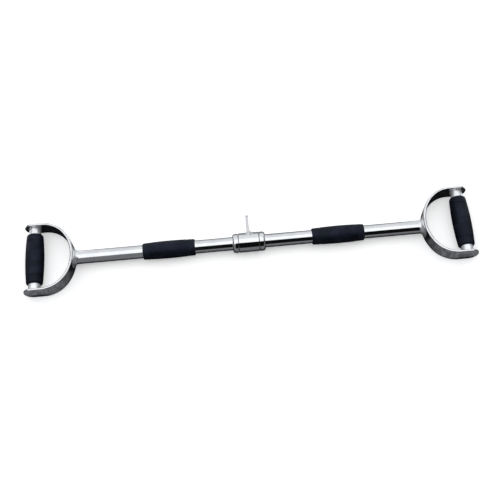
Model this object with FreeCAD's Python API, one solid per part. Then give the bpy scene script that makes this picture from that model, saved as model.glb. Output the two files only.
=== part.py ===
import FreeCAD, Part
import math
import os

# Straight lat pulldown bar: a round tube with a D handle at each end, four rubber grips
# and a hanger that revolves on the tube at its middle.
# Millimetres, +Z up. X runs along the bar, and the two handles lie flat in the XY plane
# with the origin midway between them. The tab points to +Y.

# Main tube
overall_length = 965.0
tube_diameter = 28.6
tube_wall = 3.0

# Handle strap, a flat bar bent to a D: a shallow arc at the tube, which is wider than half
# the D by the flattening, a tighter arc at each corner and two straight legs. The D's middle
# lies beyond the tube's axis by the offset, towards the tab's side.
strap_width = 42.0
strap_thickness = 6.0
strap_edge_radius = 2.4
handle_width = 155.0
handle_depth = 107.5
apex_flattening = 9.5
corner_bend_radius = 63.0
handle_offset = 3.0
tip_corner_radius = 20.0
tube_weld_radius = 12.0

# Handle rod, the cross tube between the legs
rod_diameter = 25.4
rod_wall = 2.5
rod_to_tip = 22.0
rod_weld_leg = 1.5

# Rubber grips on the rods: the wall at their ends, and what the barrel adds at the middle
handle_grip_length = 114.0
handle_grip_wall = 5.0
handle_grip_crown = 2.3
handle_grip_end_radius = 4.6
handle_grip_band = 17.0

# Rubber grips on the main tube, at their own distances from the middle
bar_grip_length = 112.0
bar_grip_wall = 3.2
bar_grip_crown = 1.6
bar_grip_end_radius = 2.4
bar_grip_band = 17.0
left_bar_grip_offset = 171.5
right_bar_grip_offset = 191.5

# Ring groove between a grip's end band and its middle
grip_groove_width = 1.8
grip_groove_depth = 0.8

# Hanger sleeve and the flanged bushings pressed into it
sleeve_length = 43.0
sleeve_wall = 4.0
sleeve_edge_chamfer = 0.6
bushing_wall = 2.35
bushing_length = 15.0
flange_thickness = 1.2
flange_setback = 1.2
running_clearance = 0.05
axial_play = 0.3

# Collars that keep the sleeve in place along the tube
collar_length = 12.0
collar_nose_radius = 6.0
collar_edge_chamfer = 0.6

# Grub screw of a collar, with a hexagon socket
screw_diameter = 5.0
screw_recess = 0.9
screw_socket_width = 2.5
screw_socket_depth = 2.0

# Tab, a plate welded on the sleeve, with the eye for the cable's hook
tab_thickness = 5.0
tab_height = 41.8
tab_base_width = 37.0
tab_tip_radius = 12.5
tab_edge_radius = 0.8
left_tab_weld_radius = 3.5
right_tab_weld_radius = 7.5
eye_diameter = 14.0

# One overrun serves every cut that has to pass a face
overrun = 1.0

# How near an edge has to be to count as the one looked for
match_tolerance = 0.01

# Places and radii that follow from the sizes
tube_radius = tube_diameter / 2
rod_radius = rod_diameter / 2
bush_radius = tube_radius + running_clearance
sleeve_bore_radius = bush_radius + bushing_wall
sleeve_radius = sleeve_bore_radius + sleeve_wall
tip_x = overall_length / 2
apex_x = tip_x - handle_depth
rod_x = tip_x - rod_to_tip
leg_outer_y = handle_width / 2
leg_inner_y = leg_outer_y - strap_thickness
apex_bend_radius = leg_outer_y + apex_flattening
apex_centre_x = apex_x + apex_bend_radius
sleeve_end_x = sleeve_length / 2
flange_end_x = sleeve_end_x + flange_thickness
collar_start_x = flange_end_x + axial_play
collar_end_x = collar_start_x + collar_length
screw_x = (collar_start_x + collar_end_x) / 2
screw_top = sleeve_radius - screw_recess
tab_reach = sleeve_radius + tab_height
eye_y = tab_reach - tab_tip_radius

ORIGIN = FreeCAD.Vector(0, 0, 0)
X_AXIS = FreeCAD.Vector(1, 0, 0)
Y_AXIS = FreeCAD.Vector(0, 1, 0)
Z_AXIS = FreeCAD.Vector(0, 0, 1)


def point(x, y, z):
    return FreeCAD.Vector(x, y, z)


def line(start, end):
    return Part.LineSegment(start, end).toShape()


def arc(start, middle, end):
    return Part.Arc(start, middle, end).toShape()


def closed_face(edges):
    return Part.Face(Part.Wire(edges))


def cylinder_x(radius, start, end):
    return Part.makeCylinder(radius, end - start, point(start, 0, 0), X_AXIS)


def mirrored(shape):
    return shape.mirror(ORIGIN, X_AXIS)


def about_tube(shape):
    """Moves a shape modelled about the X axis to the tube's axis."""
    shape.translate(point(0, -handle_offset, 0))
    return shape


def quarter_bulge(radius):
    """How far the middle of a quarter arc stands in from the corner it rounds."""
    return radius * (1 - math.sqrt(0.5))


def cope_cylinder():
    """The outer curve of the strap's apex as a tall cylinder, which the tube meets."""
    height = 2 * (tube_diameter + tube_weld_radius)
    foot = point(apex_centre_x, 0, -height / 2)
    return Part.makeCylinder(apex_bend_radius, height, foot, Z_AXIS)


def main_tube():
    """Round tube whose two ends are coped to the outer curves of the straps."""
    tube = cylinder_x(tube_radius, -rod_x, rod_x)
    tube = about_tube(tube.cut(cylinder_x(tube_radius - tube_wall, -rod_x, rod_x)))
    return tube.cut(cope_cylinder()).cut(mirrored(cope_cylinder()))


def strap_curve(inset):
    """Edges of the D from the near tip to the far tip, this far inside its outer face."""
    corner_y = leg_outer_y - corner_bend_radius
    spacing = apex_bend_radius - corner_bend_radius
    corner_x = apex_centre_x - math.sqrt(spacing ** 2 - corner_y ** 2)
    leg_y = leg_outer_y - inset
    corner_r = corner_bend_radius - inset
    # The two arcs meet on the line through their centres.
    turn = math.atan2(corner_y, apex_centre_x - corner_x)
    meet_x = corner_x - corner_r * math.cos(turn)
    meet_y = corner_y + corner_r * math.sin(turn)
    middle = (turn + math.pi / 2) / 2
    middle_x = corner_x - corner_r * math.cos(middle)
    middle_y = corner_y + corner_r * math.sin(middle)
    return [
        line(point(tip_x, -leg_y, 0), point(corner_x, -leg_y, 0)),
        arc(
            point(corner_x, -leg_y, 0),
            point(middle_x, -middle_y, 0),
            point(meet_x, -meet_y, 0),
        ),
        arc(
            point(meet_x, -meet_y, 0),
            point(apex_x + inset, 0, 0),
            point(meet_x, meet_y, 0),
        ),
        arc(
            point(meet_x, meet_y, 0),
            point(middle_x, middle_y, 0),
            point(corner_x, leg_y, 0),
        ),
        line(point(corner_x, leg_y, 0), point(tip_x, leg_y, 0)),
    ]


def strap_outline():
    """The D between the strap's outer and inner face, flat in XY."""
    return closed_face(
        strap_curve(0)
        + [line(point(tip_x, leg_outer_y, 0), point(tip_x, leg_inner_y, 0))]
        + strap_curve(strap_thickness)[::-1]
        + [line(point(tip_x, -leg_inner_y, 0), point(tip_x, -leg_outer_y, 0))]
    )


def strap_side_view():
    """The strap seen along Y: a plate whose tip end has two rounded corners."""
    half = strap_width / 2
    corner = tip_corner_radius
    bulge = quarter_bulge(corner)
    start = apex_x - overrun
    return closed_face([
        line(point(start, 0, -half), point(tip_x - corner, 0, -half)),
        arc(
            point(tip_x - corner, 0, -half),
            point(tip_x - bulge, 0, -half + bulge),
            point(tip_x, 0, -half + corner),
        ),
        line(point(tip_x, 0, -half + corner), point(tip_x, 0, half - corner)),
        arc(
            point(tip_x, 0, half - corner),
            point(tip_x - bulge, 0, half - bulge),
            point(tip_x - corner, 0, half),
        ),
        line(point(tip_x - corner, 0, half), point(start, 0, half)),
        line(point(start, 0, half), point(start, 0, -half)),
    ])


def handle_strap():
    """Bent flat bar with round-cornered tips and softened edges all round."""
    outline = strap_outline()
    outline.translate(point(0, 0, -strap_width / 2))
    plate = outline.extrude(point(0, 0, strap_width))
    side = strap_side_view()
    side.translate(point(0, -leg_outer_y - overrun, 0))
    plate = plate.common(side.extrude(point(0, handle_width + 2 * overrun, 0)))
    plate = plate.removeSplitter()
    return plate.makeFillet(strap_edge_radius, plate.Edges)


def seam_edges(joined, first, second):
    """Edges of the joined solid that lie on both of the solids it was made of."""
    edges = []
    for edge in joined.Edges:
        probes = [Part.Vertex(sample) for sample in edge.discretize(5)]
        on_first = all(probe.distToShape(first)[0] < match_tolerance for probe in probes)
        on_second = all(probe.distToShape(second)[0] < match_tolerance for probe in probes)
        if on_first and on_second:
            edges.append(edge)
    return edges


def strap_weld():
    """Flared bead round the tube's end, dressed flush within the strap's flat face."""
    wall = cope_cylinder()
    reach = tube_diameter + 2 * tube_weld_radius
    stub = about_tube(cylinder_x(tube_radius, apex_x - reach, rod_x)).cut(wall)
    joined = wall.fuse(stub)
    seam = seam_edges(joined, wall, stub)
    flare = joined.makeFillet(tube_weld_radius, seam).cut(joined)
    half_height = strap_width / 2 - strap_edge_radius
    corner = point(apex_x - reach, -leg_outer_y, -half_height)
    slab = Part.makeBox(2 * reach, handle_width, 2 * half_height, corner)
    return flare.common(slab)


def rod_cylinder(radius, length):
    return Part.makeCylinder(radius, length, point(rod_x, -length / 2, 0), Y_AXIS)


def handle_rod(strap):
    """Cross tube between the strap's inner faces."""
    span = 2 * leg_inner_y
    rod = rod_cylinder(rod_radius, span).cut(rod_cylinder(rod_radius - rod_wall, span))
    return rod.cut(strap)


def rod_welds(strap):
    """One hollow-faced bead round each end of the rod."""
    near = rod_x + rod_radius
    far = near + rod_weld_leg
    bulge = quarter_bulge(rod_weld_leg)
    beads = []
    for side in (-1, 1):
        face_y = side * leg_inner_y
        away_y = side * (leg_inner_y - rod_weld_leg)
        hollow = point(near + bulge, side * (leg_inner_y - bulge), 0)
        section = closed_face([
            line(point(near, face_y, 0), point(far, face_y, 0)),
            arc(point(far, face_y, 0), hollow, point(near, away_y, 0)),
            line(point(near, away_y, 0), point(near, face_y, 0)),
        ])
        beads.append(section.revolve(point(rod_x, 0, 0), Y_AXIS, 360).cut(strap))
    return Part.makeCompound(beads)


def grip(length, bore_radius, wall, crown, end_radius, band):
    """Barrel-shaped rubber sleeve along X with a ring groove beside each end band."""
    half = length / 2
    end_r = bore_radius + wall
    middle_r = end_r + crown
    rounding = min(end_radius, wall)
    bulge = quarter_bulge(rounding)
    shoulder = half - rounding
    rim_r = end_r - rounding
    edges = [
        arc(point(-half, rim_r, 0), point(-half + bulge, end_r - bulge, 0), point(-shoulder, end_r, 0)),
        arc(point(-shoulder, end_r, 0), point(0, middle_r, 0), point(shoulder, end_r, 0)),
        arc(point(shoulder, end_r, 0), point(half - bulge, end_r - bulge, 0), point(half, rim_r, 0)),
        line(point(half, rim_r, 0), point(half, bore_radius, 0)),
        line(point(half, bore_radius, 0), point(-half, bore_radius, 0)),
        line(point(-half, bore_radius, 0), point(-half, rim_r, 0)),
    ]
    body = closed_face(edges).revolve(ORIGIN, X_AXIS, 360)
    # The barrel is a shallow arc, so its radius over a groove follows from that arc.
    barrel_radius = (shoulder ** 2 + crown ** 2) / (2 * crown)
    groove_x = half - band
    surface_r = middle_r - barrel_radius + math.sqrt(barrel_radius ** 2 - groove_x ** 2)
    floor_r = surface_r - grip_groove_depth
    for side in (-1, 1):
        start = side * groove_x - grip_groove_width / 2
        end = start + grip_groove_width
        body = body.cut(cylinder_x(middle_r, start, end).cut(cylinder_x(floor_r, start, end)))
    return body


def handle_grip():
    body = grip(
        handle_grip_length,
        rod_radius,
        handle_grip_wall,
        handle_grip_crown,
        handle_grip_end_radius,
        handle_grip_band,
    )
    body.rotate(ORIGIN, Z_AXIS, 90)
    body.translate(point(rod_x, 0, 0))
    return body


def bar_grip(centre_x):
    body = grip(
        bar_grip_length,
        tube_radius,
        bar_grip_wall,
        bar_grip_crown,
        bar_grip_end_radius,
        bar_grip_band,
    )
    body.translate(point(centre_x, 0, 0))
    return about_tube(body)


def ring_edges(solid, x, radius):
    """Circular edges round the X axis at the given place and radius."""
    found = []
    for edge in solid.Edges:
        if isinstance(edge.Curve, Part.Circle):
            same_x = abs(edge.Curve.Center.x - x) < match_tolerance
            same_r = abs(edge.Curve.Radius - radius) < match_tolerance
            if same_x and same_r:
                found.append(edge)
    return found


def hanger_sleeve():
    """Turning barrel, bored right through for the two bushings."""
    barrel = cylinder_x(sleeve_radius, -sleeve_end_x, sleeve_end_x)
    rims = ring_edges(barrel, -sleeve_end_x, sleeve_radius)
    rims += ring_edges(barrel, sleeve_end_x, sleeve_radius)
    barrel = barrel.makeChamfer(sleeve_edge_chamfer, rims)
    return about_tube(barrel.cut(cylinder_x(sleeve_bore_radius, -sleeve_end_x, sleeve_end_x)))


def bushing():
    """Flanged bush whose flange takes the thrust between sleeve and collar."""
    start = sleeve_end_x - bushing_length
    bush = cylinder_x(sleeve_bore_radius, start, sleeve_end_x)
    bush = bush.fuse(cylinder_x(sleeve_radius - flange_setback, sleeve_end_x, flange_end_x))
    bush = bush.cut(cylinder_x(bush_radius, start, flange_end_x)).removeSplitter()
    return about_tube(bush)


def screw_cylinder(top):
    """Cylinder that stands on the tube, pointing to +Y, at the collar's screw."""
    foot = point(screw_x, 0, 0)
    return Part.makeCylinder(screw_diameter / 2, top, foot, Y_AXIS)


def collar():
    """Ring fixed on the tube, with a rounded nose and a hole for its grub screw."""
    ring = cylinder_x(sleeve_radius, collar_start_x, collar_end_x)
    ring = ring.makeFillet(collar_nose_radius, ring_edges(ring, collar_end_x, sleeve_radius))
    inner_rim = ring_edges(ring, collar_start_x, sleeve_radius)
    ring = ring.makeChamfer(collar_edge_chamfer, inner_rim)
    ring = ring.cut(cylinder_x(tube_radius, collar_start_x, collar_end_x))
    return about_tube(ring.cut(screw_cylinder(sleeve_radius + overrun)))


def collar_screw():
    """Grub screw that bears on the tube and ends below the collar's surface."""
    screw = screw_cylinder(screw_top).cut(cylinder_x(tube_radius, collar_start_x, collar_end_x))
    corner_radius = screw_socket_width / math.sqrt(3)
    floor_y = screw_top - screw_socket_depth
    corners = []
    for step in range(7):
        angle = math.radians(60 * step)
        x = screw_x + corner_radius * math.cos(angle)
        corners.append(point(x, floor_y, corner_radius * math.sin(angle)))
    socket = Part.Face(Part.makePolygon(corners))
    return about_tube(screw.cut(socket.extrude(point(0, screw_socket_depth + overrun, 0))))


def tab_outline():
    """Tapered plate outline: foot inside the sleeve, two tangents and a round end."""
    half_base = tab_base_width / 2
    foot_y = math.sqrt(sleeve_radius ** 2 - half_base ** 2)
    run = eye_y - foot_y
    # The side leaves the foot's corner as a tangent to the round end.
    tilt = math.atan2(half_base, run) - math.asin(tab_tip_radius / math.hypot(run, half_base))
    touch_y = eye_y + tab_tip_radius * math.sin(tilt)
    touch_z = tab_tip_radius * math.cos(tilt)
    face = closed_face([
        line(point(0, 0, -half_base), point(0, foot_y, -half_base)),
        line(point(0, foot_y, -half_base), point(0, touch_y, -touch_z)),
        arc(point(0, touch_y, -touch_z), point(0, tab_reach, 0), point(0, touch_y, touch_z)),
        line(point(0, touch_y, touch_z), point(0, foot_y, half_base)),
        line(point(0, foot_y, half_base), point(0, 0, half_base)),
        line(point(0, 0, half_base), point(0, 0, -half_base)),
    ])
    face.translate(point(-tab_thickness / 2, 0, 0))
    return face


def hanger_tab():
    """Plate with softened edges and an eye, its foot coped to the sleeve."""
    plate = tab_outline().extrude(point(tab_thickness, 0, 0))
    rims = []
    for edge in plate.Edges:
        if edge.BoundBox.XLength < match_tolerance:
            rims.append(edge)
    plate = plate.makeFillet(tab_edge_radius, rims)
    eye_start = point(-tab_thickness, eye_y, 0)
    plate = plate.cut(Part.makeCylinder(eye_diameter / 2, 2 * tab_thickness, eye_start, X_AXIS))
    return about_tube(plate.cut(cylinder_x(sleeve_radius, -tab_thickness, tab_thickness)))


def tab_weld(side, radius):
    """Rolling-ball bead on one side of the tab, along its foot on the sleeve."""
    barrel = cylinder_x(sleeve_radius, -sleeve_end_x, sleeve_end_x)
    plate = tab_outline().extrude(point(tab_thickness, 0, 0)).cut(barrel)
    joined = barrel.fuse(plate)
    foot = []
    for edge in seam_edges(joined, barrel, plate):
        bounds = edge.BoundBox
        if bounds.XLength < match_tolerance and bounds.Center.x * side > 0:
            foot.append(edge)
    return about_tube(joined.makeFillet(radius, foot).cut(joined))


strap = handle_strap()
one_side = {
    "handle_strap": strap,
    "strap_weld": strap_weld(),
    "handle_rod": handle_rod(strap),
    "rod_welds": rod_welds(strap),
    "handle_grip": handle_grip(),
    "bushing": bushing(),
    "collar": collar(),
    "collar_screw": collar_screw(),
}
nodes = {
    "main_tube": main_tube(),
    "left_bar_grip": bar_grip(-left_bar_grip_offset),
    "right_bar_grip": bar_grip(right_bar_grip_offset),
    "hanger_sleeve": hanger_sleeve(),
    "hanger_tab": hanger_tab(),
    "left_tab_weld": tab_weld(-1, left_tab_weld_radius),
    "right_tab_weld": tab_weld(1, right_tab_weld_radius),
}
for name, shape in one_side.items():
    nodes["right_" + name] = shape
    nodes["left_" + name] = mirrored(shape)

os.makedirs("parts", exist_ok=True)
for name, shape in nodes.items():
    shape.exportStep("parts/" + name + ".step")
    print(name, len(shape.Solids), "solid", shape.isValid(), round(shape.Volume))
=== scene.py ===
import math

import bmesh
import bpy
from mathutils import Matrix, Vector, noise


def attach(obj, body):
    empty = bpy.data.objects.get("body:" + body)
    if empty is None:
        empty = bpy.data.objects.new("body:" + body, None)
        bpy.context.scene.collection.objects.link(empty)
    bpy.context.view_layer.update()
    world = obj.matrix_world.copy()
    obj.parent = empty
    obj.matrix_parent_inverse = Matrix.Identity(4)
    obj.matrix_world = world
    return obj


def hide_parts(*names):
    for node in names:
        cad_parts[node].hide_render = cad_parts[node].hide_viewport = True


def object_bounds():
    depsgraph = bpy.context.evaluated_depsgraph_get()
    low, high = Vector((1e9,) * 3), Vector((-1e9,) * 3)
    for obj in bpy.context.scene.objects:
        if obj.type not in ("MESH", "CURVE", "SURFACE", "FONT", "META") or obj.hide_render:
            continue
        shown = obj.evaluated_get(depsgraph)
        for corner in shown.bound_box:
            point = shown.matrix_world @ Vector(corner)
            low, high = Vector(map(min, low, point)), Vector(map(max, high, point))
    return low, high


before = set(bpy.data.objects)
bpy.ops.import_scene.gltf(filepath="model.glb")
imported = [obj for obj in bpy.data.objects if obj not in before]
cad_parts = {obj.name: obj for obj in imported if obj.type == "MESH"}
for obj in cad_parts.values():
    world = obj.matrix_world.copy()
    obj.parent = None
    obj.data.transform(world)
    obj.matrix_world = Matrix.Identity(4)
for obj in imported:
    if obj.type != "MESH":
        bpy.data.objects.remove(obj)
cad_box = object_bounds()

MM = 0.001

# Sizes of the CAD pieces, which the weld beads and the floor's tones follow
TUBE_AXIS_Y = -3 * MM
TUBE_RADIUS = 14.3 * MM
SLEEVE_RADIUS = 20.7 * MM
TAB_HALF_THICKNESS = 2.5 * MM
ROD_RADIUS = 12.7 * MM
ROD_X = 460.5 * MM
LEG_INNER_Y = 71.5 * MM
APEX_X = 375 * MM
APEX_BEND = 87 * MM
STRAP_FLAT_HEIGHT = 18.6 * MM
TAB_FOOT_HEIGHT = 18.5 * MM
TAB_FOOT_Y = 6.29 * MM
TAB_TAPER = 0.144
STRAP_WELD_LEG = 12 * MM
ROD_WELD_LEG = 1.5 * MM
LEFT_TAB_WELD_LEG = 3.5 * MM
RIGHT_TAB_WELD_LEG = 7.5 * MM
FLOOR_Z = cad_box[0][2]

WHITE = (1, 1, 1, 1)
CHROME = (0.82, 0.835, 0.86, 1)

# How much finer noise gets along each axis, which makes streaks or rings of it
STREAKS_ALONG_BAR = (60.0, 900.0, 900.0)
RINGS_ABOUT_BAR = (3000.0, 60.0, 60.0)
RINGS_ABOUT_ROD = (40.0, 2600.0, 40.0)

BEAD_ROWS = 12
STEPS_PER_DAB = 6


class Value:
    """A socket that can stand in a Python sum."""

    def __init__(self, recipe, socket):
        self.recipe = recipe
        self.socket = socket

    def __add__(self, other):
        return self.recipe.math("ADD", self, other)

    __radd__ = __add__

    def __sub__(self, other):
        return self.recipe.math("SUBTRACT", self, other)

    def __rsub__(self, other):
        return self.recipe.math("SUBTRACT", other, self)

    def __mul__(self, other):
        return self.recipe.math("MULTIPLY", self, other)

    __rmul__ = __mul__

    def __truediv__(self, other):
        return self.recipe.math("DIVIDE", self, other)

    def __abs__(self):
        return self.recipe.math("ABSOLUTE", self)


class Recipe:
    """The node tree of a material or of the world."""

    def __init__(self, tree):
        self.tree = tree
        tree.nodes.clear()

    def node(self, kind, settings=None, inputs=None, output=0):
        """Makes a node with its settings and sockets, and returns the output if it has one."""
        made = self.tree.nodes.new(kind)
        for name, value in (settings or {}).items():
            setattr(made, name, value)
        for name, value in (inputs or {}).items():
            if isinstance(value, Value):
                self.tree.links.new(value.socket, made.inputs[name])
            else:
                made.inputs[name].default_value = value
        return Value(self, made.outputs[output]) if made.outputs else None

    def math(self, operation, *values):
        return self.node("ShaderNodeMath", {"operation": operation}, dict(enumerate(values)))

    def smooth(self, value, low, high, start=0.0, end=1.0):
        """Eases from start to end as the value goes from low to high."""
        return self.node(
            "ShaderNodeMapRange",
            {"interpolation_type": "SMOOTHSTEP"},
            {"Value": value, "From Min": low, "From Max": high, "To Min": start, "To Max": end},
        )

    def band(self, value, middle, core, edge, strength):
        """The strength within the core distance of the middle, easing to 0 at the edge."""
        return self.smooth(abs(value - middle), core, edge, strength, 0.0)

    def place(self, output="Object"):
        return self.node("ShaderNodeTexCoord", output=output)

    def parts(self, place):
        """The x, y and z of a place."""
        x = self.node("ShaderNodeSeparateXYZ", None, {"Vector": place})
        return [x] + [Value(self, x.socket.node.outputs[i]) for i in (1, 2)]

    def scaled(self, place, scale):
        return self.node("ShaderNodeMapping", None, {"Vector": place, "Scale": scale})

    def noise(self, place, scale, detail=2.0, roughness=0.5):
        return self.node(
            "ShaderNodeTexNoise",
            None,
            {"Vector": place, "Scale": scale, "Detail": detail, "Roughness": roughness},
        )

    def mix(self, factor, first, second):
        return self.node(
            "ShaderNodeMix",
            {"data_type": "RGBA"},
            {"Factor": factor, 6: first, 7: second},
            output=2,
        )

    def bump(self, height, distance, strength=1.0):
        return self.node(
            "ShaderNodeBump", None, {"Height": height, "Distance": distance, "Strength": strength}
        )

    def seen_as_backdrop(self):
        """One for the rays that show the white backdrop to the camera."""
        rays = [
            self.node("ShaderNodeLightPath", output=name)
            for name in ("Is Camera Ray", "Is Transmission Ray")
        ]
        return self.math("MAXIMUM", *rays)

    def finish(self, kind, shader):
        self.node(kind, None, {"Surface": shader})


def material(name):
    made = bpy.data.materials.new(name)
    made.use_nodes = True
    return made, Recipe(made.node_tree)


def principled(recipe, inputs):
    shader = recipe.node("ShaderNodeBsdfPrincipled", None, inputs)
    recipe.finish("ShaderNodeOutputMaterial", shader)


def chrome_plate(name, dull_tone=0.93, peel=0.00002, peel_scale=220.0):
    """Polished plating with orange peel, rub marks along the bar and dull patches."""
    made, recipe = material(name)
    place = recipe.place()
    haze = recipe.smooth(recipe.noise(place, 35.0, 4.0), 0.45, 0.7)
    rubs = recipe.noise(recipe.scaled(place, STREAKS_ALONG_BAR), 3.0, 3.0)
    rubs = recipe.smooth(rubs, 0.55, 0.8)
    specks = recipe.smooth(recipe.noise(place, 260.0, 5.0, 0.7), 0.5, 0.72)
    dull = recipe.math("MAXIMUM", haze, specks)
    dull_chrome = tuple(dull_tone * c for c in CHROME[:3]) + (1,)
    principled(
        recipe,
        {
            "Base Color": recipe.mix(dull, CHROME, dull_chrome),
            "Metallic": 1.0,
            "Roughness": 0.05 + 0.05 * haze + 0.05 * rubs,
            "Normal": recipe.bump(recipe.noise(place, peel_scale, 2.0), peel),
        },
    )
    return made


def plated_weld(name, blend=None):
    """Plating over a weld: duller than the tube, with small bright and dark pits.

    A blend of two distances from the strap weld's toe on the tube smooths the weld into it.
    """
    made, recipe = material(name)
    place = recipe.place()
    pits = recipe.noise(place, 700.0, 4.0, 0.65)
    rough = recipe.smooth(pits, 0.35, 0.7, 0.25, 1.0)
    relief = pits
    if blend:
        # The toe lies where the ball that shaped the bead touched the tube. The ball's
        # middle is this many times as far out from the tube's axis as that touch.
        ball_reach = 1.84
        out, side, _ = recipe.parts(place)
        ball = ball_reach * (side - TUBE_AXIS_Y) + TUBE_AXIS_Y
        curve = 2 * (APEX_BEND + STRAP_WELD_LEG)
        toe = APEX_X - STRAP_WELD_LEG + ball * ball / curve
        rise = recipe.smooth(abs(out) - toe, *blend)
        rough = rough * rise
        relief = pits * rise
    principled(
        recipe,
        {
            "Base Color": recipe.mix(rough, (0.86, 0.875, 0.9, 1), (0.9, 0.915, 0.93, 1)),
            "Metallic": 1 - 0.5 * rough,
            "Roughness": 0.08 + 0.4 * rough,
            "Normal": recipe.bump(relief, 0.00018, 0.5),
        },
    )
    return made


def sheared_plate(name):
    """The tab's plate: polished faces, and a rim that the shears left duller."""
    made, recipe = material(name)
    place = recipe.place()
    rim = recipe.smooth(abs(recipe.parts(place)[0]), 2.3 * MM, 2.48 * MM, 1.0, 0.0)
    marks = recipe.noise(recipe.scaled(place, STREAKS_ALONG_BAR), 1.5, 3.0)
    haze = recipe.smooth(recipe.noise(place, 60.0, 4.0), 0.45, 0.7)
    principled(
        recipe,
        {
            "Base Color": recipe.mix(rim, CHROME, (0.74, 0.75, 0.77, 1)),
            "Metallic": 1.0,
            "Roughness": 0.06 + 0.05 * haze + 0.2 * rim * marks,
            "Normal": recipe.bump(marks, 0.00006),
        },
    )
    return made


def satin_plate(name):
    """Bluish zinc plate with the rings that turning left on the rod."""
    made, recipe = material(name)
    place = recipe.place()
    rings = recipe.noise(recipe.scaled(place, RINGS_ABOUT_ROD), 1.0, 3.0)
    clouds = recipe.noise(place, 90.0, 3.0)
    principled(
        recipe,
        {
            "Base Color": recipe.mix(clouds, (0.98, 0.985, 1.0, 1), (0.94, 0.955, 0.99, 1)),
            "Metallic": 0.6,
            "Roughness": 0.2 + 0.1 * rings,
            "Normal": recipe.bump(rings, 0.00003),
        },
    )
    return made


def moulded_rubber(name):
    """Near-black rubber with a fine moulded grain and soft lighter patches."""
    made, recipe = material(name)
    place = recipe.place()
    patches = recipe.smooth(recipe.noise(place, 45.0, 3.0), 0.4, 0.68)
    grain = recipe.noise(place, 1400.0, 3.0, 0.6)
    pores = recipe.smooth(recipe.noise(place, 420.0, 2.0), 0.5, 0.75)
    black, patch = (0.0010, 0.0014, 0.0038, 1), (0.0080, 0.0092, 0.0185, 1)
    principled(
        recipe,
        {
            "Base Color": recipe.mix(patches, black, patch),
            "Specular IOR Level": 0.33,
            "Specular Tint": (0.6, 0.7, 1.0, 1),
            "Roughness": 0.46 + 0.16 * grain,
            "Normal": recipe.bump(grain + 0.6 * pores, 0.0002, 0.7),
        },
    )
    return made


def machined_acetal(name):
    """Black plastic with the fine rings of a lathe tool."""
    made, recipe = material(name)
    rings = recipe.noise(recipe.scaled(recipe.place(), RINGS_ABOUT_BAR), 1.0, 3.0)
    principled(
        recipe,
        {
            "Base Color": recipe.mix(rings, (0.022, 0.022, 0.024, 1), (0.034, 0.034, 0.037, 1)),
            "Roughness": 0.34 + 0.14 * rings,
            "Normal": recipe.bump(rings, 0.00004),
        },
    )
    return made


def blackened_steel(name):
    """Dark oiled steel with worn, brighter spots."""
    made, recipe = material(name)
    wear = recipe.smooth(recipe.noise(recipe.place(), 900.0, 4.0), 0.45, 0.75)
    principled(
        recipe,
        {
            "Base Color": recipe.mix(wear, (0.1, 0.1, 0.11, 1), (0.3, 0.3, 0.31, 1)),
            "Metallic": 1.0,
            "Roughness": 0.45 - 0.15 * wear,
            "Normal": recipe.bump(wear, 0.00005),
        },
    )
    return made


def dress(finishes):
    """Gives each CAD piece the finish of the first key that its name holds."""
    for name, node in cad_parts.items():
        for key, finish in finishes.items():
            if key in name:
                for slot in node.material_slots:
                    slot.material = finish
                break


chrome = chrome_plate("chrome_plate")
strap_chrome = chrome_plate("strap_chrome", dull_tone=0.72, peel=0.0001, peel_scale=60.0)
weld_plate = plated_weld("plated_weld")
strap_weld_plate = plated_weld("strap_weld_plate", (-1 * MM, 5 * MM))
dress({
    "hanger_tab": sheared_plate("sheared_plate"),
    "handle_strap": strap_chrome,
    "handle_rod": satin_plate("satin_plate"),
    "grip": moulded_rubber("moulded_rubber"),
    "bushing": machined_acetal("machined_acetal"),
    "collar_screw": blackened_steel("blackened_steel"),
    "": chrome,
})


# Weld beads, spun about the X axis where they start and then set in place


def spun_bead(radius, leg, start, end, steps):
    """A hollow-faced bead on the plane x = 0 round a cylinder about X, towards +X.

    It runs from the start to the end angle, which are measured from +Y towards +Z.
    """
    form = bmesh.new()
    # Both toes end a little under the surfaces, so that they meet those in a clean line.
    sunk = 0.007 * leg
    face = [form.verts.new((-sunk, radius - sunk, 0))]
    for row in range(BEAD_ROWS + 1):
        turn = math.pi / 2 * row / BEAD_ROWS
        x = leg * (1 - math.cos(turn)) - sunk
        ring = radius + leg * (1 - math.sin(turn)) - sunk
        face.append(form.verts.new((x, ring, 0)))
    form.faces.new(face)
    bmesh.ops.rotate(
        form, verts=form.verts, cent=(0, 0, 0), matrix=Matrix.Rotation(start, 3, "X")
    )
    whole = abs(end - start - 2 * math.pi) < 1e-6
    geometry = form.faces[:]
    if whole:
        geometry = form.edges[:]
        bmesh.ops.delete(form, geom=form.faces[:], context="FACES_ONLY")
    bmesh.ops.spin(
        form,
        geom=geometry,
        cent=(0, 0, 0),
        axis=(1, 0, 0),
        dvec=(0, 0, 0),
        angle=end - start,
        steps=steps,
        use_merge=whole,
        use_duplicate=False,
    )
    bmesh.ops.remove_doubles(form, verts=form.verts, dist=1e-7)
    bmesh.ops.recalc_face_normals(form, faces=form.faces)
    return form


def middle_radius(radius, leg):
    """The radius at about the middle of a bead's face."""
    return radius + 0.4 * leg


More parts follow.
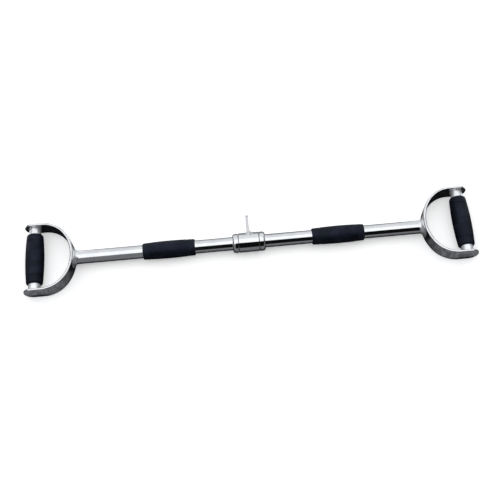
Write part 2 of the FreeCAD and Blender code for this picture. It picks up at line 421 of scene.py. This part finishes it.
def ripple(form, radius, leg, pitch, height, lumps, seed):
    """Raises the overlapping crescents of the dabs of weld metal, and low lumps."""
    middle = middle_radius(radius, leg)
    lumps_per_metre = 120
    crescent_bow, crescent_wander, mean_crescent = 0.25, 0.35, 0.6
    ripple_reach = 0.85
    shifts = []
    for vert in form.verts:
        out = (math.hypot(vert.co.y, vert.co.z) - radius) / leg
        along = math.atan2(vert.co.z, vert.co.y) * middle
        across = out - vert.co.x / leg
        wander = noise.noise(Vector((along * lumps_per_metre, across, seed)))
        phase = along / pitch + crescent_bow * across * across + crescent_wander * wander
        rise = height * (abs(math.cos(math.pi * phase)) - mean_crescent) + lumps * wander
        # The two toes stay smooth.
        fade = max(0.0, 1 - (across / ripple_reach) ** 2)
        shifts.append((vert, vert.normal * rise * fade))
    for vert, shift in shifts:
        vert.co += shift


def bead_piece(name, form, body, finish):
    """Puts a finished bead in the scene in the place of its CAD node."""
    bmesh.ops.recalc_face_normals(form, faces=form.faces)
    for face in form.faces:
        face.smooth = True
    mesh = bpy.data.meshes.new(name)
    form.to_mesh(mesh)
    form.free()
    mesh.materials.append(finish)
    piece = bpy.data.objects.new(name, mesh)
    bpy.context.scene.collection.objects.link(piece)
    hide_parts(name.replace("_bead", ""))
    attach(piece, body)


def whole_steps(radius, pitch):
    """An even count of dabs that fits the circle, as a count of steps, and its pitch."""
    dabs = 2 * round(math.pi * radius / pitch)
    return STEPS_PER_DAB * dabs, 2 * math.pi * radius / dabs


def dress_level(form, height, foot_y=0.0, taper=0.0):
    """Cuts a bead off at this height above and below the bar's axis, and closes it.

    Beyond foot_y the height lessens by the taper.
    """
    for up in (1, -1):
        cut = bmesh.ops.bisect_plane(
            form,
            geom=form.verts[:] + form.edges[:] + form.faces[:],
            plane_co=(0, foot_y, up * height),
            plane_no=(0, taper, up),
            clear_outer=True,
        )
        rim = [item for item in cut["geom_cut"] if isinstance(item, bmesh.types.BMEdge)]
        bmesh.ops.holes_fill(form, edges=rim)


def strap_weld(side):
    """The bead that a ball leaves as it rolls round the tube, touching the strap's curve."""
    leg = STRAP_WELD_LEG
    steps, pitch = whole_steps(middle_radius(TUBE_RADIUS, leg), pitch=2.6 * MM)
    form = spun_bead(TUBE_RADIUS, leg, 0, 2 * math.pi, steps)
    ripple(form, TUBE_RADIUS, leg, pitch, height=0.06 * MM, lumps=0.2 * MM, seed=side)
    bend_x = APEX_X + APEX_BEND
    for vert in form.verts:
        ring = math.hypot(vert.co.y, vert.co.z)
        outward = Vector((0, vert.co.y, vert.co.z)) / ring
        ball = outward * (TUBE_RADIUS + leg)
        ball.y += TUBE_AXIS_Y
        ball.x = bend_x - math.sqrt((APEX_BEND + leg) ** 2 - ball.y ** 2)
        to_strap = Vector((bend_x - ball.x, -ball.y, 0)) / (APEX_BEND + leg)
        back, down = leg - vert.co.x, TUBE_RADIUS + leg - ring
        toward = to_strap.slerp(-outward, math.atan2(down, back) / (math.pi / 2))
        # The hidden corner stays where the strap and the tube meet.
        squeeze = (1 / math.cos(to_strap.angle(-outward) / 2) - 1) / (math.sqrt(2) - 1)
        vert.co = ball + toward * (leg + squeeze * (math.hypot(back, down) - leg))
        vert.co.x *= side
    # It is dressed level with the strap's flat face.
    dress_level(form, STRAP_FLAT_HEIGHT)
    return form


def rod_welds(side):
    """The two beads that join a rod's ends to the strap's legs."""
    leg = ROD_WELD_LEG
    steps, pitch = whole_steps(middle_radius(ROD_RADIUS, leg), pitch=1.7 * MM)
    both = bmesh.new()
    for end in (-1, 1):
        form = spun_bead(ROD_RADIUS, leg, 0, 2 * math.pi, steps)
        seed = end + 3 * side
        ripple(form, ROD_RADIUS, leg, pitch, height=0.14 * MM, lumps=0.05 * MM, seed=seed)
        quarter = Matrix.Rotation(-end * math.pi / 2, 3, "Z")
        bmesh.ops.rotate(form, verts=form.verts, cent=(0, 0, 0), matrix=quarter)
        bmesh.ops.translate(form, verts=form.verts, vec=(side * ROD_X, end * LEG_INNER_Y, 0))
        part = bpy.data.meshes.new("rod_weld")
        form.to_mesh(part)
        form.free()
        both.from_mesh(part)
        bpy.data.meshes.remove(part)
    return both


def tab_weld(side, leg):
    """The bead along one side of the tab's foot, cut off along the plate's two edges."""
    reach = math.radians(66)
    steps = 2 * round(2 * reach * middle_radius(SLEEVE_RADIUS, leg) / MM)
    form = spun_bead(SLEEVE_RADIUS, leg, -reach, reach, steps)
    pitch = 2.3 * MM
    ripple(form, SLEEVE_RADIUS, leg, pitch, height=0.2 * MM, lumps=0.08 * MM, seed=7 * side)
    for vert in form.verts:
        vert.co.x = side * (TAB_HALF_THICKNESS + vert.co.x)
        vert.co.y += TUBE_AXIS_Y
    dress_level(form, TAB_FOOT_HEIGHT, TAB_FOOT_Y, TAB_TAPER)
    return form


for label, side in (("left", -1), ("right", 1)):
    bead_piece(label + "_strap_weld_bead", strap_weld(side), "bar", strap_weld_plate)
    bead_piece(label + "_rod_welds_bead", rod_welds(side), "bar", weld_plate)
bead_piece("left_tab_weld_bead", tab_weld(-1, LEFT_TAB_WELD_LEG), "hanger", weld_plate)
bead_piece("right_tab_weld_bead", tab_weld(1, RIGHT_TAB_WELD_LEG), "hanger", weld_plate)


# Floor, light and camera


def table_tone(recipe):
    """The grey that the metal meets under and beside the bar, with painted shade and painted
    light in it.

    It is staging: its zones are set so that the bands on the chrome look as in the photo.
    """
    place = recipe.place()
    along, across, _ = recipe.parts(place)
    out = abs(along)
    stains = recipe.smooth(recipe.noise(place, 90.0, 4.0, 0.6), 0.38, 0.62, 0.65, 1.15)

    # The distance from the handle's middle line. The bend is simpler than the real one:
    # half a circle about this place.
    bend_middle = 452.5 * MM
    from_middle = recipe.math("MINIMUM", out - bend_middle, 0.0)
    distance = recipe.math("SQRT", from_middle * from_middle + across * across)
    # Painted shade: inside each handle the table is nearly black, easing off beyond the handle's
    # tip.
    handle_shade = recipe.smooth(distance, 74.5 * MM, 77.5 * MM, 1.0, 0.0)
    handle_shade = handle_shade * recipe.smooth(out, 485 * MM, 560 * MM, 1.0, 0.0)
    handle_shade_tone = 0.03

    # Painted shade: beside the bar the table lightens outwards, apart from the painted shade
    # along the tube's near side and the one that follows the rim of the handle.
    shade = recipe.band(across, -24 * MM, 4 * MM, 16 * MM, 0.8)
    shade = shade * recipe.smooth(out, 380 * MM, 370 * MM)
    rim_shade = recipe.smooth(distance, 80.5 * MM, 84 * MM, 0.85, 0.0)
    grey = recipe.smooth(abs(across - TUBE_AXIS_Y), 10 * MM, 80 * MM, 0.085, 0.25)
    grey = grey * (1 - recipe.math("MAXIMUM", shade, rim_shade))

    # Painted light: the far side is lighter, most of all by the handles, and least from the
    # hanger to just right of it.
    far = recipe.smooth(along, -375 * MM, 300 * MM, 0.4, 0.2)
    far = far + recipe.smooth(out, 340 * MM, 390 * MM, 0.0, 0.8)
    far = far * (1 - recipe.band(along, 30 * MM, 30 * MM, 90 * MM, 0.8))
    grey = grey * stains + recipe.smooth(across, 20 * MM, 120 * MM) * far
    return grey * (1 - handle_shade) + handle_shade_tone * stains * handle_shade


def lay_floor():
    """A floor that the camera sees as white paper with the bar's soft shadow on it.

    Reflections and bounced light meet a grey table in its place, with painted shade and painted
    light in its grey.
    """
    bpy.ops.mesh.primitive_plane_add(size=60.0, location=(0, 0, FLOOR_Z))
    floor = bpy.context.object
    floor.name = "floor"
    made, recipe = material("floor_paper")
    paper = recipe.node("ShaderNodeBsdfDiffuse", None, {"Color": (0.99, 0.99, 0.99, 1)})
    glow = recipe.node("ShaderNodeEmission", None, {"Color": WHITE, "Strength": 0.385})
    lit_paper = recipe.node("ShaderNodeAddShader", None, {0: paper, 1: glow})
    grey = table_tone(recipe)
    blueness = 1.03
    tint = recipe.node("ShaderNodeCombineColor", None, {0: grey, 1: grey, 2: grey * blueness})
    table = recipe.node("ShaderNodeBsdfDiffuse", None, {"Color": tint})
    shader = recipe.node(
        "ShaderNodeMixShader", None, {0: recipe.seen_as_backdrop(), 1: table, 2: lit_paper}
    )
    recipe.finish("ShaderNodeOutputMaterial", shader)
    floor.data.materials.append(made)


def light_studio():
    """A white ceiling and far wall, and a grey near wall.

    The near wall is dark from the middle to the right, apart from its foot. The camera
    sees plain white instead of all this.
    """
    world = bpy.data.worlds.new("studio")
    bpy.context.scene.world = world
    world.use_nodes = True
    recipe = Recipe(world.node_tree)
    across, depth, height = recipe.parts(recipe.place("Generated"))
    # The angle from the far horizon over the zenith to the near horizon, in half turns
    turn = recipe.math("ARCTAN2", height, depth) / math.pi
    ceiling = recipe.smooth(turn, 0.0, 0.28, 0.74, 0.9)
    ceiling = ceiling + recipe.smooth(turn, 0.3, 0.41, 0.0, 0.33)
    right = recipe.smooth(across, -0.12, -0.06)
    near = recipe.smooth(turn - 0.69 + 0.06 * right, -0.01, 0.01)
    grey_wall = recipe.smooth(turn, 0.6, 1.0, 0.21, 0.18)
    dark = right * recipe.smooth(turn, 0.995, 0.97)
    dark_wall, side_wall = 0.004, 0.1
    light = ceiling * (1 - near) + near * (grey_wall * (1 - dark) + dark_wall * dark)
    # Only reflections meet the side walls, which are dim.
    mirrored = recipe.node("ShaderNodeLightPath", output="Is Glossy Ray")
    side = mirrored * recipe.smooth(abs(across), 0.66, 0.9)
    light = light * (1 - side) + side_wall * side
    seen = recipe.seen_as_backdrop()
    background = recipe.node(
        "ShaderNodeBackground",
        None,
        {
            "Color": recipe.mix(seen, (0.98, 0.99, 1, 1), WHITE),
            "Strength": seen + (1 - seen) * light,
        },
    )
    recipe.finish("ShaderNodeOutputWorld", background)


def stand_camera():
    """The camera looks down on the bar from the near side, turned a little in its frame."""
    elevation = math.radians(67.08)
    yaw = math.radians(1.348)
    roll = math.radians(-3.866)
    focal_length_px, picture_width_px = 819.14, 500
    camera = bpy.data.cameras.new("camera")
    camera.sensor_width = 36.0
    camera.lens = focal_length_px / picture_width_px * camera.sensor_width
    camera.clip_end = 100.0
    stand = bpy.data.objects.new("camera", camera)
    bpy.context.scene.collection.objects.link(stand)
    right = Vector((math.cos(yaw), -math.sin(yaw), 0.0))
    back = Vector((
        -math.sin(yaw) * math.cos(elevation),
        -math.cos(yaw) * math.cos(elevation),
        math.sin(elevation),
    ))
    level = Matrix((right, back.cross(right), back)).transposed()
    turned = level @ Matrix.Rotation(roll, 3, "Z")
    target = Vector((0, -5 * MM, 0))
    offset = Vector((2.11 * MM, -14.78 * MM, 1758.47 * MM))
    stand.matrix_world = Matrix.Translation(target + turned @ offset) @ turned.to_4x4()
    bpy.context.scene.camera = stand


lay_floor()
light_studio()
stand_camera()
bpy.context.scene.view_settings.view_transform = "Standard"
